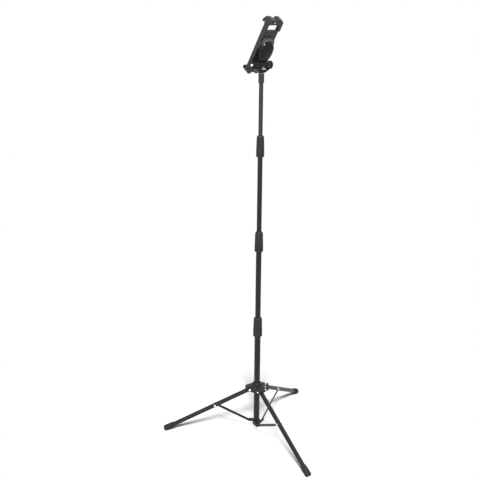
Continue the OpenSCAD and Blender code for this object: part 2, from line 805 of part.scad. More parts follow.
module jaw_head(back) {
    web_h = hook_h - web_drop;
    intersection() {
        union() {
            pair() translate([hook_gap/2, 0, 0]) rotate([90, 0, 90])
                linear_extrude(jaw_half - hook_gap/2) hook_profile(back);
            slab(jaw_half, bar_front, back, -lip_reach, web_h);
        }
        rotate([90, 0, 0]) linear_extrude(10*bar_t, center = true) polygon([
            [-jaw_half, -lip_reach], [jaw_half, -lip_reach], [jaw_half, hook_h - corner],
            [jaw_half - corner, hook_h], [corner - jaw_half, hook_h], [-jaw_half, hook_h - corner]]);
    }
}

module lower_jaw() {
    leg_in = window_w/2 + gap;
    leg_out = cavity_w/2 - fit;
    leg_top = screw_z + 2*screw_lift;
    head_top = low_edge + lip_reach;
    color(ink) head() difference() {
        union() {
            translate([0, 0, low_edge]) mirror([0, 0, 1]) jaw_head(low_jaw_back);
            pair() translate([leg_in, tongue_front, head_top - over])
                cube([leg_out - leg_in, tongue_back + gap - fit - tongue_front, leg_top - head_top + over]);
        }
        pair() translate([screw_x, 0, screw_z])
            across(screw_r/2 + fit, tongue_front + screw_skin, bar_back);
    }
}

module lower_jaw_screws() {
    color(zinc) head() pair() translate([screw_x, 0, screw_z]) {
        across(screw_r, bar_back - screw_head_t, bar_back);
        across(screw_r/2, tongue_front + screw_skin + gap, bar_back);
    }
}

module top_jaw() {
    head_lo = top_edge - lip_reach;
    window_z = head_lo + over - top_window_h;
    window_hi = window_z + top_window_h;
    frame_z = window_z - window_drop;
    slot_end = 6;
    hole_r = 5;
    head_skin = 3;
    pocket_w = hook_gap/2 + slot_end;
    pocket_hi = top_edge + hook_h - web_drop - head_skin;
    color(ink) head() difference() {
        union() {
            translate([0, 0, top_edge]) jaw_head(jaw_back);
            slab(tongue_w/2, tongue_front, tongue_back, tongue_lo, top_edge);
            difference() {
                slab(jaw_half, bar_front + plate_t, jaw_back, sleeve_lo, top_edge);
                slab(jaw_half - jaw_skin, bar_front - over, bar_back + gap,
                     sleeve_lo - over, head_lo + over);
            }
        }
        slab(tongue_slot/2, tongue_front - over, tongue_back + over, tongue_lo - over, frame_z - slot_end);
        slab(top_window_w/2, tongue_back, jaw_back + over, window_z, window_hi);
        slab(tongue_w/2 - rail_w, bar_front - over, tongue_back + over, frame_z, window_hi);
        slab(pocket_w, bar_front - over, jaw_back - head_skin, head_lo, pocket_hi);
        translate([0, 0, top_edge]) rotate([90, -30, 0])
            cylinder(r = hole_r, h = 10*bar_t, center = true, $fn = 3);
    }
}

// Rubber pads on the hooks' seats
module hook_pads(z0) {
    inset = 1;
    wide = jaw_half - hook_gap/2 - 2*inset;
    pair() translate([hook_gap/2 + inset, lip_in + fit, z0])
        cube([wide, bar_front - lip_in - 2*fit, pad_t]);
}

module lower_jaw_pads() { color(rubber) head() hook_pads(low_edge); }
module top_jaw_pads() { color(rubber) head() hook_pads(top_edge - pad_t); }

pole_tube(0);  // main_tube
strut_collar();
collar_rivets();
pole_plug();
lock_body(0);  // lock_body_1
twist_collar(0);  // twist_collar_1
pole_tube(1);  // tube_2
guide_plug(1);  // guide_plug_2
lock_body(1);  // lock_body_2
twist_collar(1);  // twist_collar_2
pole_tube(2);  // tube_3
guide_plug(2);  // guide_plug_3
lock_body(2);  // lock_body_3
twist_collar(2);  // twist_collar_3
pole_tube(3);  // tube_4
guide_plug(3);  // guide_plug_4
pole_ferrule();
neck_knob();
hub();
hub_sleeve();
hub_rivets();
lock_screw();
lock_knob();
leg_tube(0);  // leg_tube_1
leg_tube(1);  // leg_tube_2
leg_tube(2);  // leg_tube_3
leg_foot(0);  // leg_foot_1
leg_foot(1);  // leg_foot_2
leg_foot(2);  // leg_foot_3
leg_rivet(0);  // leg_rivet_1
leg_rivet(1);  // leg_rivet_2
leg_rivet(2);  // leg_rivet_3
strut(0);  // strut_1
strut(1);  // strut_2
strut(2);  // strut_3
yoke();
yoke_stem();
tilt_axle();
tilt_screws();
tilt_washers();
paddle_arm();
tension_screw();
turn_bolt();
turn_nut();
turn_washer();
turntable();
holder_bar();
front_plate();
bar_pads();
brake_springs();
lower_jaw();
lower_jaw_screws();
lower_jaw_pads();
top_jaw();
top_jaw_pads();
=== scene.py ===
import json
import math

import bmesh
import bpy
import numpy as np
from mathutils import Matrix


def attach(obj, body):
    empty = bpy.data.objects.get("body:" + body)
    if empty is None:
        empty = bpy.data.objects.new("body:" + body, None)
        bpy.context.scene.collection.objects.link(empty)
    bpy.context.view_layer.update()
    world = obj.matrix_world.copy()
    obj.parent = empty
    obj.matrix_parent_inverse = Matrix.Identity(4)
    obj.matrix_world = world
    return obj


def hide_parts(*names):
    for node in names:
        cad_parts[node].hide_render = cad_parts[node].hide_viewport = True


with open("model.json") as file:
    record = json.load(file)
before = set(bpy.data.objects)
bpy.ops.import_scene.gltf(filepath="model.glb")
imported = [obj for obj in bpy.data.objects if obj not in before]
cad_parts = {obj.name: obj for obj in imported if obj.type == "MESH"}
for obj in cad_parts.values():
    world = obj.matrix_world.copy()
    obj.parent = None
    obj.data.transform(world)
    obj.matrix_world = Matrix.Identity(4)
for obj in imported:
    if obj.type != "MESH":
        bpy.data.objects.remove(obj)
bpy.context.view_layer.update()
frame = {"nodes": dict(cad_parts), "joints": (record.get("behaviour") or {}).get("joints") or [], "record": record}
nodes = frame["nodes"]
joints = {j["name"]: j for j in frame["joints"]}
mm = 0.001


# where things are, read from the frame
def unit(v):
    v = np.asarray(v, float)
    return v / np.linalg.norm(v)


def jointAt(name):
    return np.array(joints[name]["pos_m"], float)


def jointAxis(name):
    return unit(joints[name]["axis"])


def nodePoints(name):
    mesh = nodes[name].data
    flat = np.zeros(len(mesh.vertices) * 3)
    mesh.vertices.foreach_get("co", flat)
    return flat.reshape(-1, 3)


def offAxis(points, place, axis):         # distance along an axis, and distance from it
    rel = np.asarray(points) - place
    along = rel @ axis
    return along, np.linalg.norm(rel - along[:, None] * axis, axis=1)


def roundSpan(name, place=(0, 0, 0), axis=(0, 0, 1)):    # low end, high end and outer radius about an axis
    along, out = offAxis(nodePoints(name), np.asarray(place, float), np.asarray(axis, float))
    return along.min(), along.max(), out.max()


def turnedAbout(points, angle):           # turn about the pole, degrees
    c, s = math.cos(math.radians(angle)), math.sin(math.radians(angle))
    return np.asarray(points) @ np.array([[c, s, 0], [-s, c, 0], [0, 0, 1]])


tiltPoint = jointAt("tilt")
acrossHead = np.array([1.0, 0.0, 0.0])    # along the tilt axle
alongHead = jointAxis("jaw_slide")        # up the holder
facing = jointAxis("turn")                # out of the holder's front
headAxes = np.array([acrossHead, alongHead, facing])


def headPoints(name):                     # a node's points in the head's own axes
    return (nodePoints(name) - tiltPoint) @ headAxes.T


def fromHead(local):
    return tiltPoint + np.asarray(local) @ headAxes


# surfaces
def gridFaces(rows, cols, wrapRows=False, wrapCols=False):
    # quads between neighbouring rows and columns of a grid of points
    r = np.arange(rows if wrapRows else rows - 1)
    c = np.arange(cols if wrapCols else cols - 1)
    r, c = np.meshgrid(r, c, indexing="ij")
    up, right = (r + 1) % rows, (c + 1) % cols
    return np.stack([r * cols + c, r * cols + right, up * cols + right, up * cols + c], -1).reshape(-1, 4)


def arcPoints(centre, radius, start, end, steps):        # arc of (radius, height) points, degrees
    t = np.radians(np.linspace(start, end, steps))
    return np.stack([centre[0] + radius * np.cos(t), centre[1] + radius * np.sin(t)], -1)


def filleted(corners, steps=6):
    # an outline's corners (x, y, radius); each radius becomes an arc tangent to both sides
    pts = np.array([(c[0], c[1]) for c in corners], float)
    out = []
    for k, (_, _, r) in enumerate(corners):
        a, b = pts[(k - 1) % len(pts)] - pts[k], pts[(k + 1) % len(pts)] - pts[k]
        la, lb = np.linalg.norm(a), np.linalg.norm(b)
        if r <= 0 or la < 1e-9 or lb < 1e-9:
            out.append(pts[k][None])
            continue
        a, b = a / la, b / lb
        half = math.acos(np.clip(a @ b, -1, 1)) / 2
        cut = min(r / math.tan(half), 0.49 * la, 0.49 * lb)
        t = np.linspace(0, 1, steps)[:, None]
        mid = pts[k] + unit(a + b) * cut / math.cos(half)
        start, end = pts[k] + a * cut - mid, pts[k] + b * cut - mid
        spread = math.acos(np.clip(unit(start) @ unit(end), -1, 1))
        out.append(mid + (np.sin((1 - t) * spread) * start + np.sin(t * spread) * end) / math.sin(spread))
    return np.concatenate(out)


def finer(profile, step):
    # the same outline with points no further apart than a step
    out = []
    for a, b in zip(profile[:-1], profile[1:]):
        count = max(1, int(math.ceil(np.linalg.norm(b - a) / step)))
        out.append(a + (b - a) * np.linspace(0, 1, count, endpoint=False)[:, None])
    return np.concatenate(out + [profile[-1:]])


def axisFrame(axis, lead=None):           # two directions square to an axis, the first towards lead
    axis = unit(axis)
    lead = np.array([0, 0, 1.0]) if lead is None else np.asarray(lead, float)
    if abs(axis @ unit(lead)) > 0.95:
        lead = np.array([1.0, 0, 0])
    first = unit(lead - axis * (lead @ axis))
    return first, np.cross(axis, first)


def turnedGrid(profile, place, axis, count=64, shape=None, lead=None):
    # a profile of (radius, height) carried round an axis; shape(angle, height, radius) gives local radii
    first, second = axisFrame(axis, lead)
    angle = np.linspace(0, 2 * math.pi, count, endpoint=False)[None, :]
    radius = np.asarray(profile)[:, :1]
    height = np.asarray(profile)[:, 1:] + 0 * angle
    radius = shape(angle, height, radius) if shape else radius + 0 * angle
    ring = np.cos(angle)[..., None] * first + np.sin(angle)[..., None] * second
    return np.asarray(place) + height[..., None] * unit(axis) + radius[..., None] * ring


def meshOf(grids):
    # joins grids of (points, wrapRows, wrapCols) into one list of points and quads
    pts, quads, base = [], [], 0
    for points, wrapRows, wrapCols in grids:
        rows, cols = points.shape[:2]
        pts.append(points.reshape(-1, 3))
        quads.append(gridFaces(rows, cols, wrapRows, wrapCols) + base)
        base += rows * cols
    return np.concatenate(pts), np.concatenate(quads)


def addPiece(name, grids, slot, body, stands=(), sharp=38, material=None):
    # one piece from one or more closed grids; poles and seams are merged and faces turned outwards
    points, quads = meshOf(grids)
    mesh = bpy.data.meshes.new(name)
    mesh.from_pydata(points.tolist(), [], quads.tolist())
    work = bmesh.new()
    work.from_mesh(mesh)
    bmesh.ops.remove_doubles(work, verts=work.verts, dist=1e-6)
    bmesh.ops.dissolve_degenerate(work, edges=work.edges, dist=1e-7)
    bmesh.ops.recalc_face_normals(work, faces=work.faces)
    for face in work.faces:
        face.smooth = True
    for edge in work.edges:
        edge.smooth = len(edge.link_faces) == 2 and edge.calc_face_angle(0) < math.radians(sharp)
    work.to_mesh(mesh)
    work.free()
    piece = bpy.data.objects.new(name, mesh)
    bpy.context.scene.collection.objects.link(piece)
    mesh.materials.append(material or finishes[slot])
    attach(piece, body)
    if stands:
        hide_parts(*stands)
    return piece


# shader groups
def groupOf(name, inputs, outputs):
    tree = bpy.data.node_groups.new(name, "ShaderNodeTree")
    for label, value in inputs:
        sock = tree.interface.new_socket(label, in_out="INPUT", socket_type="NodeSocketFloat")
        sock.default_value = value
    for label, kind in outputs:
        tree.interface.new_socket(label, in_out="OUTPUT", socket_type=kind)
    return tree, tree.nodes.new("NodeGroupInput"), tree.nodes.new("NodeGroupOutput")


def addNode(tree, kind, **values):
    made = tree.nodes.new(kind)
    for key, value in values.items():
        setattr(made, key, value)
    return made


def mathNode(tree, operation, first, second=None, clamp=False):
    made = addNode(tree, "ShaderNodeMath", operation=operation, use_clamp=clamp)
    for sock, value in zip(made.inputs, (first, second)):
        if value is None:
            continue
        if isinstance(value, (int, float)):
            sock.default_value = value
        else:
            tree.links.new(value, sock)
    return made.outputs[0]


def noiseNode(tree, vector, scale, detail=2.0, rough=0.5):
    made = addNode(tree, "ShaderNodeTexNoise")
    made.inputs["Detail"].default_value = detail
    made.inputs["Roughness"].default_value = rough
    tree.links.new(vector, made.inputs["Vector"])
    if isinstance(scale, (int, float)):
        made.inputs["Scale"].default_value = scale
    else:
        tree.links.new(scale, made.inputs["Scale"])
    return made.outputs["Fac"]


def makeGrain():
    # fine surface grain of a coat or a mould, with a slow drift in tone over the whole piece
    tree, into, out = groupOf("surface grain", [("Scale", 900.0), ("Drift Scale", 14.0)],
                              [("Height", "NodeSocketFloat"), ("Drift", "NodeSocketFloat")])
    where = addNode(tree, "ShaderNodeTexCoord").outputs["Object"]
    fine = noiseNode(tree, where, into.outputs["Scale"], 3.0, 0.6)
    cell = addNode(tree, "ShaderNodeTexVoronoi", feature="SMOOTH_F1")
    tree.links.new(where, cell.inputs["Vector"])
    tree.links.new(into.outputs["Scale"], cell.inputs["Scale"])
    mixed = mathNode(tree, "ADD", mathNode(tree, "MULTIPLY", fine, 0.6),
                     mathNode(tree, "MULTIPLY", cell.outputs["Distance"], 0.4))
    tree.links.new(mixed, out.inputs["Height"])
    drift = noiseNode(tree, where, into.outputs["Drift Scale"], 4.0, 0.55)
    tree.links.new(drift, out.inputs["Drift"])
    return tree


def makeSheenEdges():
    # how much a point lies on a convex edge, broken up so that the edges aren't even; the finishes paint these
    # edges lighter, a painted sheen with some rubbing
    tree, into, out = groupOf("painted sheen and rubbed edges", [("Radius", 0.0008), ("Break Scale", 160.0)],
                              [("Mask", "NodeSocketFloat")])
    bevel = addNode(tree, "ShaderNodeBevel", samples=4)
    tree.links.new(into.outputs["Radius"], bevel.inputs["Radius"])
    face = addNode(tree, "ShaderNodeNewGeometry")
    dot = addNode(tree, "ShaderNodeVectorMath", operation="DOT_PRODUCT")
    tree.links.new(bevel.outputs["Normal"], dot.inputs[0])
    tree.links.new(face.outputs["True Normal"], dot.inputs[1])
    turn = mathNode(tree, "MULTIPLY", mathNode(tree, "SUBTRACT", 1.0, dot.outputs["Value"]), 6.0, True)
    where = addNode(tree, "ShaderNodeTexCoord").outputs["Object"]
    broken = noiseNode(tree, where, into.outputs["Break Scale"], 3.0, 0.6)
    patch = mathNode(tree, "MULTIPLY", mathNode(tree, "SUBTRACT", broken, 0.38), 4.0, True)
    tree.links.new(mathNode(tree, "MULTIPLY", turn, patch), out.inputs["Mask"])
    return tree


def makeDust():
    # a thin film on faces that look up, patchy
    tree, into, out = groupOf("settled dust", [("Amount", 0.2), ("Patch Scale", 60.0)],
                              [("Mask", "NodeSocketFloat")])
    face = addNode(tree, "ShaderNodeNewGeometry")
    split = addNode(tree, "ShaderNodeSeparateXYZ")
    tree.links.new(face.outputs["Normal"], split.inputs[0])
    upward = mathNode(tree, "MULTIPLY", mathNode(tree, "SUBTRACT", split.outputs["Z"], 0.25), 1.3, True)
    where = addNode(tree, "ShaderNodeTexCoord").outputs["Object"]
    patch = noiseNode(tree, where, into.outputs["Patch Scale"], 5.0, 0.65)
    film = mathNode(tree, "MULTIPLY", upward, mathNode(tree, "MULTIPLY", patch, into.outputs["Amount"]))
    tree.links.new(film, out.inputs["Mask"])
    return tree


grainGroup = makeGrain()
sheenEdgeGroup = makeSheenEdges()
dustGroup = makeDust()


def placeGroup(tree, group, **values):
    made = addNode(tree, "ShaderNodeGroup", node_tree=group)
    for key, value in values.items():
        made.inputs[key].default_value = value
    return made


def mixColour(tree, factor, first, second):
    made = addNode(tree, "ShaderNodeMix", data_type="RGBA")
    tree.links.new(factor, made.inputs["Factor"])
    for sock, value in ((made.inputs[6], first), (made.inputs[7], second)):
        if isinstance(value, tuple):
            sock.default_value = (*value, 1.0)
        else:
            tree.links.new(value, sock)
    return made.outputs[2]


def rangeOf(tree, value, low, high, fromLow=0.3, fromHigh=0.7):
    made = addNode(tree, "ShaderNodeMapRange")
    for sock, number in zip(made.inputs[1:5], (fromLow, fromHigh, low, high)):
        sock.default_value = number
    tree.links.new(value, made.inputs[0])
    return made.outputs[0]


def makeFinish(name, look):
    # one finish: tone drift and grain, lighter convex edges (painted sheen with some rubbing) and dust over one
    # Principled shader
    made = bpy.data.materials.new(name)
    made.use_nodes = True
    tree = made.node_tree
    shader = tree.nodes["Principled BSDF"]
    grain = placeGroup(tree, grainGroup, **{"Scale": look["grain"], "Drift Scale": look["drift"]})
    edges = placeGroup(tree, sheenEdgeGroup, **{"Radius": look["edge"]})
    dust = placeGroup(tree, dustGroup, **{"Amount": look["dust"]})
    drift = rangeOf(tree, grain.outputs["Drift"], 0, 1)
    base = mixColour(tree, drift, look["dark"], look["light"])
    # convex edges take the lighter edge colour: a painted sheen, with some rubbing
    base = mixColour(tree, edges.outputs["Mask"], base, look["sheenRubbed"])
    base = mixColour(tree, dust.outputs["Mask"], base, look["dustTone"])
    tree.links.new(base, shader.inputs["Base Color"])
    smooth, dull = look["rough"]
    rough = rangeOf(tree, grain.outputs["Drift"], smooth, dull)
    rough = mathNode(tree, "ADD", rough, mathNode(tree, "MULTIPLY", dust.outputs["Mask"], 0.4), True)
    tree.links.new(rough, shader.inputs["Roughness"])
    shader.inputs["Metallic"].default_value = look["metal"]
    shader.inputs["Specular IOR Level"].default_value = look["shine"]
    bump = addNode(tree, "ShaderNodeBump")
    bump.inputs["Strength"].default_value = look["bump"]
    bump.inputs["Distance"].default_value = look["depth"]
    tree.links.new(grain.outputs["Height"], bump.inputs["Height"])
    tree.links.new(bump.outputs["Normal"], shader.inputs["Normal"])
    return made


# each finish's edge colour paints its convex edges lighter: a painted sheen with some rubbing
powderCoat = {"dark": (0.0052, 0.0056, 0.0076), "light": (0.0086, 0.0090, 0.0114),
              "sheenRubbed": (0.05, 0.051, 0.055), "rough": (0.23, 0.31), "metal": 0.0, "shine": 0.28,
              "grain": 1500.0, "drift": 9.0, "bump": 0.12, "depth": 0.0002, "edge": 0.0006,
              "dust": 0.06, "dustTone": (0.16, 0.156, 0.152)}
mouldedBlack = {"dark": (0.0120, 0.0126, 0.0156), "light": (0.0180, 0.0187, 0.0222),
                "sheenRubbed": (0.05, 0.051, 0.055), "rough": (0.36, 0.50), "metal": 0.0, "shine": 0.17,
                "grain": 1900.0, "drift": 22.0, "bump": 0.2, "depth": 0.0002, "edge": 0.0009,
                "dust": 0.07, "dustTone": (0.16, 0.156, 0.152)}
satinBlack = {"dark": (0.0098, 0.0103, 0.0128), "light": (0.0150, 0.0156, 0.0186),
              "sheenRubbed": (0.055, 0.056, 0.060), "rough": (0.25, 0.36), "metal": 0.0, "shine": 0.40,
              "grain": 1500.0, "drift": 18.0, "bump": 0.1, "depth": 0.0002, "edge": 0.0011,
              "dust": 0.07, "dustTone": (0.16, 0.156, 0.152)}
polishedBlack = {"dark": (0.0050, 0.0053, 0.0068), "light": (0.0078, 0.0082, 0.0102),
                 "sheenRubbed": (0.03, 0.031, 0.034), "rough": (0.13, 0.19), "metal": 0.0, "shine": 0.14,
                 "grain": 700.0, "drift": 20.0, "bump": 0.04, "depth": 0.0002, "edge": 0.0009,
                 "dust": 0.06, "dustTone": (0.16, 0.156, 0.152)}
floorRubber = {"dark": (0.0088, 0.0088, 0.0098), "light": (0.0140, 0.0140, 0.0152),
               "sheenRubbed": (0.035, 0.035, 0.035), "rough": (0.55, 0.72), "metal": 0.0, "shine": 0.22,
               "grain": 1200.0, "drift": 40.0, "bump": 0.3, "depth": 0.0003, "edge": 0.0012,
               "dust": 0.07, "dustTone": (0.13, 0.127, 0.124)}
zincPlate = {"dark": (0.78, 0.79, 0.80), "light": (0.88, 0.885, 0.89), "sheenRubbed": (0.92, 0.92, 0.92),
             "rough": (0.22, 0.36), "metal": 1.0, "shine": 0.5, "grain": 1600.0, "drift": 220.0,
             "bump": 0.05, "depth": 0.0001, "edge": 0.0004, "dust": 0.05, "dustTone": (0.4, 0.39, 0.38)}
greyNylon = {"dark": (0.065, 0.066, 0.070), "light": (0.085, 0.086, 0.091),
             "sheenRubbed": (0.13, 0.13, 0.135), "rough": (0.45, 0.6), "metal": 0.0, "shine": 0.4,
             "grain": 1700.0, "drift": 30.0, "bump": 0.15, "depth": 0.0002, "edge": 0.0006,
             "dust": 0.08, "dustTone": (0.2, 0.195, 0.19)}
darkSteel = {"dark": (0.26, 0.265, 0.275), "light": (0.36, 0.365, 0.375), "sheenRubbed": (0.55, 0.55, 0.56),
             "rough": (0.24, 0.36), "metal": 1.0, "shine": 0.5, "grain": 1600.0, "drift": 220.0,
             "bump": 0.05, "depth": 0.0001, "edge": 0.0004, "dust": 0.04,
             "dustTone": (0.3, 0.295, 0.29)}
finishes = {"tube_paint": makeFinish("powder coat", powderCoat),
            "black_plastic": makeFinish("moulded black", mouldedBlack),
            "gloss_plastic": makeFinish("polished black", polishedBlack),
            "rubber": makeFinish("floor rubber", floorRubber),
            "zinc": makeFinish("zinc plate", zincPlate),
            "nylon": makeFinish("grey nylon", greyNylon)}
# the holder is smoother than the pole's mouldings
satinNodes = ("holder_bar", "top_jaw", "lower_jaw", "front_plate", "turntable")
satinFinish = makeFinish("satin black", satinBlack)
thinCoat = {**powderCoat, "shine": 0.5}                 # the top tube is shinier than the wider ones
yokeBlack = {**polishedBlack, "rough": (0.28, 0.38)}    # the yoke is less polished than the paddle
ownFinish = {**dict.fromkeys(satinNodes, satinFinish), "tension_screw": makeFinish("dark steel", darkSteel),
             "tube_4": makeFinish("thin coat", thinCoat), "yoke": makeFinish("yoke black", yokeBlack)}
slotOf = {s["node"]: s["material_slot"] for s in frame["record"]["subparts"]}
print("finishes made:", len(finishes) + len(set(ownFinish.values())))


# the carried-over nodes: their finish, and edges broken as a mould or a press leaves them
edgeBreak = {"tube_paint": 0.3 * mm, "black_plastic": 0.6 * mm, "gloss_plastic": 1.0 * mm,
             "rubber": 0.5 * mm, "zinc": 0.25 * mm, "nylon": 0.3 * mm}
edgeSet = {"weld": 2e-6, "flat": 0.4, "sharp": 33}      # metres, then degrees


def breakEdges(piece, width, steps=3):
    weld = piece.modifiers.new("weld", "WELD")
    weld.merge_threshold = edgeSet["weld"]
    flat = piece.modifiers.new("flat faces", "DECIMATE")
    flat.decimate_type = "DISSOLVE"
    flat.angle_limit = math.radians(edgeSet["flat"])
    bevel = piece.modifiers.new("broken edges", "BEVEL")
    bevel.width = width
    bevel.segments = steps
    bevel.limit_method = "ANGLE"
    bevel.angle_limit = math.radians(edgeSet["sharp"])
    bevel.use_clamp_overlap = True
    bevel.harden_normals = True
    normals = piece.modifiers.new("even shading", "WEIGHTED_NORMAL")
    normals.keep_sharp = True


for name, node in nodes.items():
    node.data.materials.clear()
    node.data.materials.append(ownFinish.get(name, finishes[slotOf[name]]))
    breakEdges(node, edgeBreak[slotOf[name]])
print("nodes finished:", len(nodes))


# the legs: top pivot, strut rivet and direction
def legLine(k):
    top = turnedAbout(jointAt("hub_rise"), 120 * (k - 1))
    rivet = jointAt("leg_%d_fold" % k)
    return top, rivet, unit(rivet - top)


# rubber boots: a grooved sleeve that widens to a rounded edge, ground flat where it stands
bootSet = {"mouthWall": 1.4 * mm, "edge": 3 * mm, "lip": 0.8 * mm, "fit": 0.05 * mm, "taper": 0.5,
           "grooves": 4, "firstGroove": 6 * mm, "grooveStep": 4.4 * mm, "grooveHalf": 1.2 * mm,
           "grooveDepth": 0.7 * mm}


def addBoot(k):
    s = bootSet
    top, _, down = legLine(k)
    low, end, wide = roundSpan("leg_foot_%d" % k, top, down)
    _, tubeEnd, tubeRadius = roundSpan("leg_tube_%d" % k, top, down)
    bore, floor = tubeRadius + s["fit"], tubeEnd + s["fit"]
    mouth = bore + s["mouthWall"]
    height = np.linspace(low + s["lip"], end - s["edge"], 120)
    radius = np.interp(height, [low, low + s["taper"] * (end - s["edge"] - low)], [mouth, wide])
    rings = low + s["firstGroove"] + s["grooveStep"] * np.arange(s["grooves"])
    off = np.abs(height[:, None] - rings) / s["grooveHalf"]
    radius -= s["grooveDepth"] * np.where(off < 1, 0.5 + 0.5 * np.cos(math.pi * off), 0).sum(1)
    rim = arcPoints((radius[0] - s["lip"], low + s["lip"]), s["lip"], -90, 0, 7)
    base = arcPoints((wide - s["edge"], end - s["edge"]), s["edge"], 0, 90, 16)
    profile = np.concatenate([[(0, floor), (bore, floor), (bore, low)], rim,
                              np.stack([radius, height], -1)[1:-1], base, [(0, end)]])
    grid = turnedGrid(finer(profile, 1.5 * mm), top, down, 72)
    grid[..., 2] = np.maximum(grid[..., 2], 0)           # the sole
    addPiece("legBoot%d" % k, [(grid, False, True)], "rubber", "leg_%d" % k, ["leg_foot_%d" % k])


# rivets: a domed head, a shank and a rolled tail with its hollow
rivetSet = {"rise": 1.25 * mm, "shank": 0.5, "roll": 0.3, "tailDepth": 0.5 * mm, "near": 25 * mm,
            "ease": 0.1 * mm, "spacerSink": 0.7, "spacerHole": 0.55, "spacerEdge": 0.4 * mm,
            "spacerStep": 0.6 * mm}


def rivetGrid(place, axis, low, high, head):
    s = rivetSet
    dome = np.radians(np.linspace(0, 90, 12))
    domed = np.stack([head * np.sin(dome), low + s["rise"] * (1 - np.cos(dome))], -1)
    roll, shank = head * s["roll"], head * s["shank"]
    last = 180 - math.degrees(math.asin(max(0, 1 - s["tailDepth"] / roll)))
    tail = arcPoints((head - roll, high - roll), roll, 0, last, 12)
    profile = np.concatenate([domed, [(shank, low + s["rise"]), (shank, high - roll)], tail,
                              [(0, high - s["tailDepth"])]])
    return turnedGrid(profile, place, axis, 36)


def rivetSpan(name, place, axis):         # ends and head radius of the rivet of a set that lies at a place
    points = nodePoints(name)
    points = points[np.linalg.norm(points - place, axis=1) < rivetSet["near"]]
    along, out = offAxis(points, place, axis)
    return along.min(), along.max(), out.max()


def addRivets():
    axes = [jointAxis("leg_%d_fold" % k) for k in (1, 2, 3)]
    hubTops = [turnedAbout(jointAt("hub_rise"), 120 * k) for k in range(3)]
    lugs = [jointAt(n) for n in ("tripod_fold", "strut_2_fold", "strut_3_fold")]
    sets = (("hub_rivets", "hubRivets", hubTops, "spider", "zinc"),
            ("collar_rivets", "collarRivets", lugs, "pole_base", "tube_paint"))
    for name, piece, places, body, slot in sets:
        grids = [(rivetGrid(p, a, *rivetSpan(name, p, a)), False, True) for p, a in zip(places, axes)]
        addPiece(piece, grids, slot, body, [name])
    for k in (1, 2, 3):
        addLegRivet(k, axes[k - 1])


def addLegRivet(k, axis):
    # the rivet, and a spacer between leg and strut whose inner end is hollowed to sit on the round tube
    s = rivetSet
    top, place, down = legLine(k)
    low, high, head = rivetSpan("leg_rivet_%d" % k, place, axis)
    if abs(high) > abs(low):
        axis, low, high = -axis, -high, -low             # the strut lies on the low side
    strut = offAxis(nodePoints("strut_%d" % k), place, axis)[0].max() + s["ease"]
    legSide = roundSpan("leg_tube_%d" % k, top, down)[2]
    inner, hole = -legSide * s["spacerSink"], head * s["spacerHole"]
    spacer = filleted([(hole, strut, 0), (head, strut, s["spacerEdge"]),
                       (head, inner, 0), (hole, inner, 0)])
    grid = turnedGrid(finer(spacer, s["spacerStep"]), place, axis, 40, lead=down)
    rel = grid - place
    round_ = -np.sqrt(np.maximum(legSide ** 2 - (rel @ np.cross(axis, down)) ** 2, 0))
    grid = grid + (np.minimum(rel @ axis, round_) - rel @ axis)[..., None] * axis
    addPiece("legRivet%d" % k, [(rivetGrid(place, axis, low, high, head), False, True), (grid, True, True)],
             "zinc", "leg_%d" % k, ["leg_rivet_%d" % k])


# the hub's lock screw: a single-start thread, a saw-tooth in height that climbs with the angle
threadSet = {"pitch": 1.0 * mm, "depth": 0.5 * mm, "lead": 0.8 * mm}


def addLockScrew():
    s = threadSet
    place, axis = jointAt("hub_lock_turn"), jointAxis("hub_lock_turn")
    low, high, radius = roundSpan("lock_screw", place, axis)
    height = np.linspace(low, high, int((high - low) / (0.125 * s["pitch"])))
    wall = np.stack([np.full_like(height, radius), height], -1)
    profile = np.concatenate([[(0, low)], wall, [(0, high)]])

    def threaded(angle, height, radius):
        turn = height / s["pitch"] - angle / (2 * math.pi)
        tooth = abs(2 * (turn - np.floor(turn)) - 1)
        ends = np.clip(np.minimum(height - low, high - height) / s["lead"], 0, 1)
        return np.where(radius > 0, radius - s["depth"] * (tooth * ends + 1 - ends), 0)

    grid = turnedGrid(profile, place, axis, 36, threaded)
    addPiece("lockScrew", [(grid, False, True)], "zinc", "hub_lock", ["lock_screw"], sharp=60)


# the hub's lock knob: a lobed disc with soft rims, dished in the middle
knobSet = {"lobes": 8, "cut": 1.7 * mm, "rim": 2.2 * mm, "dish": 1.0 * mm, "dishRadius": 8 * mm,
           "boss": 6 * mm, "step": 1.2 * mm, "fit": 0.05 * mm, "edge": 0.5 * mm, "dishEdge": 0.6 * mm,
           "dishStep": 0.8 * mm}


def addLockKnob():
    s = knobSet
    place, axis = jointAt("hub_lock_turn"), jointAxis("hub_lock_turn")
    low, high, radius = roundSpan("lock_knob", place, axis)
    _, screwEnd, screwRadius = roundSpan("lock_screw", place, axis)
    bore, end = screwRadius + s["fit"], screwEnd + s["fit"]
    seat, floor = low + s["step"], high - s["dish"]
    profile = filleted([(0, end, 0), (bore, end, 0), (bore, low, 0), (s["boss"], low, s["edge"]),
                        (s["boss"] + s["edge"], seat, s["edge"]), (radius, seat, s["rim"]),
                        (radius, high, s["rim"]), (s["dishRadius"], high, s["dishEdge"]),
                        (s["dishRadius"] - s["dishStep"], floor, s["dishEdge"]), (0, floor, 0)])

    def lobed(angle, height, r):
        groove = (0.5 + 0.5 * np.cos(s["lobes"] * angle)) ** 1.6
        reach = np.clip((r - s["dishRadius"]) / (radius - s["dishRadius"]), 0, 1)
        return r - s["cut"] * groove * reach

    grid = turnedGrid(finer(profile, 1.2 * mm), place, axis, 160, lobed)
    addPiece("lockKnob", [(grid, False, True)], "black_plastic", "hub_lock", ["lock_knob"])


# the neck knob: a fluted nut with a tapered foot
neckSet = {"flutes": 10, "cut": 0.85 * mm, "foot": 4 * mm, "footWall": 1.6 * mm, "lip": 3.5 * mm,
           "crown": 2.4 * mm, "gap": 0.3 * mm, "step": 0.9 * mm, "footEdge": 0.5 * mm,
           "footRound": 2 * mm, "lipEdge": 0.4 * mm, "fluteRun": 3 * mm, "fluteRise": 1.2 * mm}


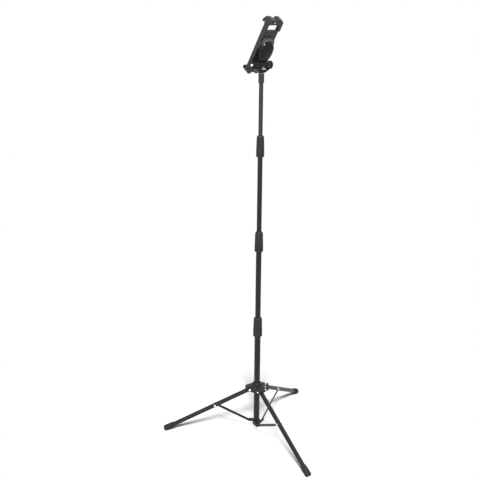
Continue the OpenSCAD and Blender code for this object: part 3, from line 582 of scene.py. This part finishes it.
def addNeckKnob():
    s = neckSet
    z0, z1, r = roundSpan("neck_knob")
    tube, stem, ferrule = (roundSpan(n)[2] + s["gap"] for n in ("tube_4", "yoke_stem", "pole_ferrule"))
    roof, seat = z1 - s["lip"], z0 + s["step"]
    profile = filleted([(tube, z0, 0), (tube + s["footWall"] - s["gap"], z0, s["footEdge"]),
                        (r, z0 + s["foot"], s["footRound"]), (r, z1, s["crown"]), (stem, z1, s["lipEdge"]),
                        (stem, roof, 0), (ferrule, roof, 0), (ferrule, seat, 0), (tube, seat, 0)])

    def fluted(angle, height, radius):
        groove = (0.5 + 0.5 * np.cos(s["flutes"] * angle)) ** 1.4
        run = np.clip((height - z0 - s["foot"]) / s["fluteRun"], 0, 1)
        outer = np.clip((radius - ferrule) / s["fluteRise"], 0, 1)
        return radius - s["cut"] * groove * np.sin(run * math.pi / 2) * outer

    grid = turnedGrid(finer(profile, 1.2 * mm), (0, 0, 0), (0, 0, 1), 160, fluted)
    addPiece("neckKnob", [(grid, True, True)], "black_plastic", "neck_nut", ["neck_knob"],
             material=satinFinish)


# twist collars: tapered, with shallow grip flutes that run out at both ends
collarSet = {"flutes": 24, "cut": 0.6 * mm, "runOut": 7 * mm, "fluteLow": 4 * mm, "fluteHigh": 9 * mm,
             "shoulder": 10 * mm, "lip": 0.7 * mm, "foot": 1.3 * mm, "taper": 1.4 * mm, "wall": 3.3 * mm,
             "gap": 0.3 * mm, "roof": 5.7 * mm, "collet": 2.3 * mm, "throat": 23.7 * mm}


def addCollar(k):
    s = collarSet
    z0, z1, r = roundSpan("twist_collar_%d" % k)
    inner = roundSpan("tube_%d" % (k + 1))[2] + s["gap"]
    bore = r - s["wall"]
    # the shoulder is a quarter of an ellipse, from the tapered wall up to a narrow lip round the tube
    t = np.linspace(0, math.pi / 2, 16)[:, None]
    lip, top = inner + s["lip"], z1 - s["shoulder"]
    dome = np.concatenate([lip + (r - s["taper"] - lip) * np.cos(t), top + s["shoulder"] * np.sin(t)], 1)
    foot = arcPoints((r - s["foot"], z0 + s["foot"]), s["foot"], -90, 0, 8)
    profile = np.concatenate([[(bore, z0)], foot, dome, [(inner, z1), (inner, z1 - s["roof"]),
                              (inner + s["collet"], z1 - s["roof"]), (bore, z1 - s["throat"]), (bore, z0)]])

    def gripped(angle, height, radius):
        groove = (0.5 + 0.5 * np.cos(s["flutes"] * angle)) ** 1.5
        into = np.clip((height - z0 - s["fluteLow"]) / s["runOut"], 0, 1)
        out = np.clip((z1 - s["fluteHigh"] - height) / s["runOut"], 0, 1)
        outer = radius > bore + 0.5 * mm
        return radius - s["cut"] * groove * np.sin(into * math.pi / 2) * np.sin(out * math.pi / 2) * outer

    grid = turnedGrid(finer(profile, 1.5 * mm), (0, 0, 0), (0, 0, 1), 192, gripped)
    addPiece("twistCollar%d" % k, [(grid, True, True)], "black_plastic", "twist_%d" % k,
             ["twist_collar_%d" % k])


# screws: a domed head round a socket, six-sided or crossed
def socketRadius(kind, angle):
    # radius of a socket's outline at an angle, as a share of its widest
    if kind == "hex":
        third = math.pi / 3
        return math.cos(third / 2) / np.cos(np.mod(angle, third) - third / 2)
    return 0.36 + 0.64 * np.abs(np.cos(2 * angle)) ** 5


def screwGrid(place, axis, radius, thick, side, socket, depth, kind, lead=None):
    # (radius, height) from the seat over the domed head into the socket, whose rows follow its outline
    s = screwSet
    crown = socket * s["crown"]
    t = np.linspace(0, math.pi / 2, 10)
    dome = np.stack([crown + (radius - crown) * np.cos(t), side + (thick - side) * np.sin(t)], -1)
    profile = np.concatenate([[(0, 0), (radius - s["seatEdge"], 0), (radius, s["seatEdge"])], dome,
                              [(socket, thick), (socket, thick - depth),
                               (0, thick - depth * s["socketTip"])]])

    def outline(angle, height, r):
        inside = (r <= socket * 1.0001) & (height > thick - 1.05 * depth)
        return np.where(inside, r * socketRadius(kind, angle), r + 0 * angle)

    return turnedGrid(profile, place, axis, 96, outline, lead)


screwSet = {"tiltHead": 4.0 * mm, "tiltSide": 1.4 * mm, "tiltSocket": 2.5 * mm, "tiltDepth": 2.0 * mm,
            "jawHead": 1.35 * mm, "jawSide": 0.7 * mm, "jawSocket": 1.9 * mm, "jawDepth": 0.8 * mm,
            "crown": 1.12, "seatEdge": 0.15 * mm, "socketTip": 1.15}


def addScrews():
    s = screwSet
    points = headPoints("tilt_screws")
    grids = []
    for side in (1, -1):
        seat = (points[points[:, 0] * side > 0, 0] * side).min()
        reach = np.linalg.norm(points[points[:, 0] * side > 0][:, 1:], axis=1).max()
        grids.append((screwGrid(fromHead((side * seat, 0, 0)), acrossHead * side, reach, s["tiltHead"],
                                s["tiltSide"], s["tiltSocket"], s["tiltDepth"], "hex"), False, True))
    addPiece("tiltScrews", grids, "zinc", "tilt_yoke", ["tilt_screws"], sharp=30)
    points = headPoints("lower_jaw_screws")
    grids = []
    for side in (1, -1):
        mine = points[points[:, 0] * side > 0]
        low, high = mine.min(0), mine.max(0)
        mid = (low + high) / 2
        seat = low[2] + s["jawHead"]
        place, reach = fromHead((mid[0], mid[1], seat)), (high[0] - low[0]) / 2
        grids.append((screwGrid(place, -facing, reach, s["jawHead"], s["jawSide"], s["jawSocket"],
                                s["jawDepth"], "cross", alongHead), False, True))
    addPiece("lowerJawScrews", grids, "zinc", "holder", ["lower_jaw_screws"], sharp=30)


# rubber pads: a strip with rounded ends, its face in ribs
padSet = {"ribStep": 2.4 * mm, "ribCut": 0.35 * mm, "round": 0.5 * mm, "end": 1.2 * mm,
          "endWidth": 0.9, "endHeight": 0.55}


def padGrid(low, high, thickAxis, outward, ribAxis, longAxis):
    # section in (rib, thickness) swept along the strip; the face is thickness - cut * (0.5 - 0.5 cos) of
    # the rib's place
    s = padSet
    size = high - low
    face = np.linspace(0, 1, 90)
    ribs = round(size[ribAxis] / s["ribStep"])
    ribbed = size[thickAxis] - s["ribCut"] * (0.5 - 0.5 * np.cos(2 * math.pi * face * ribs))
    edge = np.minimum(face, 1 - face) * size[ribAxis]
    ribbed -= s["round"] * (1 - np.sqrt(1 - np.clip(1 - edge / s["round"], 0, 1) ** 2))
    section = np.concatenate([np.stack([face * size[ribAxis], ribbed], -1), [(size[ribAxis], 0), (0, 0)]])
    t = np.linspace(0, math.pi / 2, 7)
    along = np.concatenate([s["end"] * (1 - np.cos(t)), size[longAxis] - s["end"] * (1 - np.cos(t[::-1]))])
    fall = np.concatenate([np.sin(t), np.sin(t[::-1])])
    local = np.zeros((len(along), len(section), 3))
    middle = size[ribAxis] / 2
    local[..., longAxis] = low[longAxis] + along[:, None]
    wide, tall = (s[key] + (1 - s[key]) * fall[:, None] for key in ("endWidth", "endHeight"))
    local[..., ribAxis] = low[ribAxis] + middle + (section[:, 0] - middle) * wide
    thick = section[:, 1] * tall
    local[..., thickAxis] = low[thickAxis] + thick if outward > 0 else high[thickAxis] - thick
    caps = local[[0, -1]].mean(1, keepdims=True) + 0 * local[[0, -1]]
    return fromHead(np.concatenate([caps[:1], local, caps[1:]]))


def addPads():
    for node, piece, body, outward in (("lower_jaw_pads", "lowerJawPads", "holder", 1),
                                       ("top_jaw_pads", "topJawPads", "upper_jaw", -1)):
        points = headPoints(node)
        sides = [points[points[:, 0] * side > 0] for side in (1, -1)]
        grids = [(padGrid(p.min(0), p.max(0), 1, outward, 2, 0), False, True) for p in sides]
        addPiece(piece, grids, "rubber", body, [node])
    points = headPoints("bar_pads")
    middle = (points[:, 1].min() + points[:, 1].max()) / 2
    strips = [points[points[:, 1] > middle], points[points[:, 1] < middle]]
    grids = [(padGrid(p.min(0), p.max(0), 2, 1, 1, 0), False, True) for p in strips]
    addPiece("barPads", grids, "rubber", "holder", ["bar_pads"])


# the upper jaw's roof: a bar between its two hooks, on the web behind them
roofSet = {"half": 10.2 * mm, "drop": 2.8 * mm, "thick": 4.4 * mm, "inset": 5.5 * mm, "nose": 3 * mm,
           "edge": 0.6 * mm}


def addRoof():
    # a rounded section in (up, out of the front) carried across from hook to hook, with closed ends
    s = roofSet
    points = headPoints("top_jaw")
    high, front, back = points[:, 1].max() - s["drop"], points[:, 2].max() - s["inset"], points[:, 2].min()
    low = high - s["thick"]
    section = filleted([(high, back, s["edge"]), (high, front, s["nose"]),
                        (low, front, s["edge"]), (low, back, s["edge"])])
    ends = np.array([-s["half"], s["half"]])[:, None] + 0 * section[:, 0]
    walls = np.stack([ends, section[:, 0] + 0 * ends, section[:, 1] + 0 * ends], -1)
    caps = walls.mean(1, keepdims=True) + 0 * walls
    grid = fromHead(np.concatenate([caps[:1], walls, caps[1:]]))
    addPiece("topJawRoof", [(grid, False, True)], "black_plastic", "upper_jaw", material=satinFinish)


# the paddle: a finely remeshed copy of its node, whose back is lowered along the rim to a wide soft edge
paddleSet = {"voxel": 0.7 * mm, "edge": 8 * mm, "above": 22 * mm, "smooth": 6, "backFrom": 0.3 * mm}


def addPaddle():
    s = paddleSet
    mesh = nodes["paddle_arm"].data.copy()
    work = bmesh.new()
    work.from_mesh(mesh)
    bmesh.ops.remove_doubles(work, verts=work.verts, dist=2e-6)
    work.to_mesh(mesh)
    work.free()
    piece = bpy.data.objects.new("paddle", mesh)
    bpy.context.scene.collection.objects.link(piece)
    fine = piece.modifiers.new("fine", "REMESH")
    fine.mode = "VOXEL"
    fine.voxel_size = s["voxel"]
    even = piece.modifiers.new("even", "SMOOTH")
    even.factor, even.iterations = 0.5, s["smooth"]
    baked = bpy.data.meshes.new_from_object(piece.evaluated_get(bpy.context.evaluated_depsgraph_get()))
    piece.modifiers.clear()
    piece.data = baked
    flat = np.zeros(len(baked.vertices) * 3)
    baked.vertices.foreach_get("co", flat)
    local = (flat.reshape(-1, 3) - tiltPoint) @ headAxes.T
    x, up, out = local[:, 0], local[:, 1], -local[:, 2]
    # distance inside the disc's rim, whose lowest points lie where the disc meets its neck
    radius = np.abs(x).max()
    middle = up.max() - radius
    inside = radius - np.hypot(x, np.maximum(up - middle, 0))
    drop = s["edge"] * (1 - np.sqrt(1 - np.clip(1 - inside / s["edge"], 0, 1) ** 2))
    share = np.clip((up - s["above"]) / s["above"], 0, 1)
    lowest = out[up > middle].min()
    lowered = np.maximum(out - drop * share, lowest)
    local[:, 2] = -np.where(out > lowest + s["backFrom"], lowered, out)
    baked.vertices.foreach_set("co", (tiltPoint + local @ headAxes).ravel())
    baked.update()
    baked.shade_smooth()
    baked.materials.clear()
    baked.materials.append(finishes["gloss_plastic"])
    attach(piece, "arm")
    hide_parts("paddle_arm")


for k in (1, 2, 3):
    addBoot(k)
    addCollar(k)
addRivets()
addLockScrew()
addLockKnob()
addNeckKnob()
addScrews()
addPads()
addRoof()
addPaddle()
print("pieces made:", len(bpy.data.meshes) - len(nodes))

# floor, light and camera
# the floor's lift under the pole is painted light over the shadow of the hub and pole
studio = {"floorRadius": 14.0, "floorTone": (0.97, 0.97, 0.974), "sky": 0.10,
          "paintedLightUnderPole": 0.85, "midFrom": 0.10, "midBy": 0.29, "whiteFrom": 0.36, "whiteBy": 0.5,
          "keyPlace": (1.87, 2.36, 3.4), "keyTarget": (0, 0, 0.3), "keySize": 0.8, "key": 290.0,
          "stripPlace": (2.69, 1.2, 1.5), "stripTarget": (0, 0, 1.2), "stripWide": 0.35, "stripTall": 2.2,
          "strip": 12.0,
          "backPlace": (-2.4, -2.4, 3.0), "backTarget": (0, 0, 0.8), "backSize": 1.6, "back": 14.0}
cameraSet = {"place": (1.5752, 1.9089, 1.4795), "heading": 232.0, "pitch": -16.49, "roll": 0.382,
             "lens": 55.55}


def seenRays(tree):
    # 1 where the camera, a gloss or a clear part looks, 0 for light itself
    path = addNode(tree, "ShaderNodeLightPath")
    seen = mathNode(tree, "ADD", path.outputs["Is Camera Ray"], path.outputs["Is Glossy Ray"], True)
    return mathNode(tree, "ADD", seen, path.outputs["Is Transmission Ray"], True)


def makeFloor():
    # a wide disc that takes the shadows of the feet; under the pole a painted glow lifts it towards white and
    # washes out the hub's and pole's shadow, and far out it is as white as the world
    made = bpy.data.materials.new("studio floor")
    made.use_nodes = True
    tree = made.node_tree
    shader = tree.nodes["Principled BSDF"]
    shader.inputs["Base Color"].default_value = (*studio["floorTone"], 1.0)
    shader.inputs["Roughness"].default_value = 0.9
    shader.inputs["Specular IOR Level"].default_value = 0.0
    glow = addNode(tree, "ShaderNodeEmission")
    glow.inputs["Strength"].default_value = 1.0
    where = addNode(tree, "ShaderNodeTexCoord")
    reach = addNode(tree, "ShaderNodeVectorMath", operation="LENGTH")
    tree.links.new(where.outputs["Object"], reach.inputs[0])
    away = reach.outputs["Value"]
    # painted light under the pole: an emission lift, strongest at the middle, that washes out the shadow of the
    # hub and pole
    middle = rangeOf(tree, away, studio["paintedLightUnderPole"], 0.0, studio["midFrom"], studio["midBy"])
    rim = rangeOf(tree, away, 0.0, 1.0, studio["whiteFrom"], studio["whiteBy"])
    seen = mathNode(tree, "MULTIPLY", mathNode(tree, "MAXIMUM", middle, rim), seenRays(tree))
    mixed = addNode(tree, "ShaderNodeMixShader")
    tree.links.new(seen, mixed.inputs[0])
    tree.links.new(shader.outputs[0], mixed.inputs[1])
    tree.links.new(glow.outputs[0], mixed.inputs[2])
    tree.links.new(mixed.outputs[0], tree.nodes["Material Output"].inputs["Surface"])
    angle = np.linspace(0, 2 * math.pi, 96, endpoint=False)[None, :]
    radius = np.array([0.0, 0.6, 1.5, 4.0, studio["floorRadius"]])[:, None]
    points = np.stack([radius * np.cos(angle), radius * np.sin(angle), 0 * radius * angle], -1)
    pts, quads = meshOf([(points, False, True)])
    mesh = bpy.data.meshes.new("floor")
    mesh.from_pydata(pts.tolist(), [], quads.tolist())
    work = bmesh.new()
    work.from_mesh(mesh)
    bmesh.ops.remove_doubles(work, verts=work.verts, dist=1e-6)
    work.to_mesh(mesh)
    work.free()
    mesh.materials.append(made)
    floor = bpy.data.objects.new("floor", mesh)
    bpy.context.scene.collection.objects.link(floor)


def lookMatrix(forward, roll=0.0):
    forward = unit(forward)
    right = unit(np.cross(forward, (0, 0, 1.0)))
    up = np.cross(right, forward)
    c, s = math.cos(math.radians(roll)), math.sin(math.radians(roll))
    return Matrix(np.array([right * c + up * s, up * c - right * s, -forward]).T.tolist())


def addLamp(name, place, target, size, power, tall=None):
    data = bpy.data.lights.new(name, "AREA")
    data.shape = "RECTANGLE" if tall else "DISK"
    data.size = size
    if tall:
        data.size_y = tall
    data.energy = power
    lamp = bpy.data.objects.new(name, data)
    lamp.location = place
    lamp.rotation_euler = lookMatrix(np.asarray(target) - np.asarray(place)).to_euler()
    bpy.context.scene.collection.objects.link(lamp)


def makeStudio():
    makeFloor()
    world = bpy.data.worlds.new("studio")
    world.use_nodes = True
    tree = world.node_tree
    back = tree.nodes["Background"]
    tree.links.new(rangeOf(tree, seenRays(tree), studio["sky"], 1.0, 0.0, 1.0), back.inputs["Strength"])
    back.inputs["Color"].default_value = (1, 1, 1, 1)
    bpy.context.scene.world = world
    s = studio
    addLamp("key", s["keyPlace"], s["keyTarget"], s["keySize"], s["key"])
    addLamp("strip", s["stripPlace"], s["stripTarget"], s["stripWide"], s["strip"], s["stripTall"])
    addLamp("back", s["backPlace"], s["backTarget"], s["backSize"], s["back"])


def makeCamera():
    lens = bpy.data.cameras.new("camera")
    lens.lens = cameraSet["lens"]
    lens.sensor_width = 36.0
    lens.sensor_fit = "HORIZONTAL"
    camera = bpy.data.objects.new("camera", lens)
    h, p = math.radians(cameraSet["heading"]), math.radians(cameraSet["pitch"])
    forward = (math.cos(p) * math.cos(h), math.cos(p) * math.sin(h), math.sin(p))
    camera.location = cameraSet["place"]
    camera.rotation_euler = lookMatrix(forward, cameraSet["roll"]).to_euler()
    bpy.context.scene.collection.objects.link(camera)
    bpy.context.scene.camera = camera


makeStudio()
makeCamera()
bpy.context.scene.view_settings.view_transform = "Standard"
print("studio and camera set")
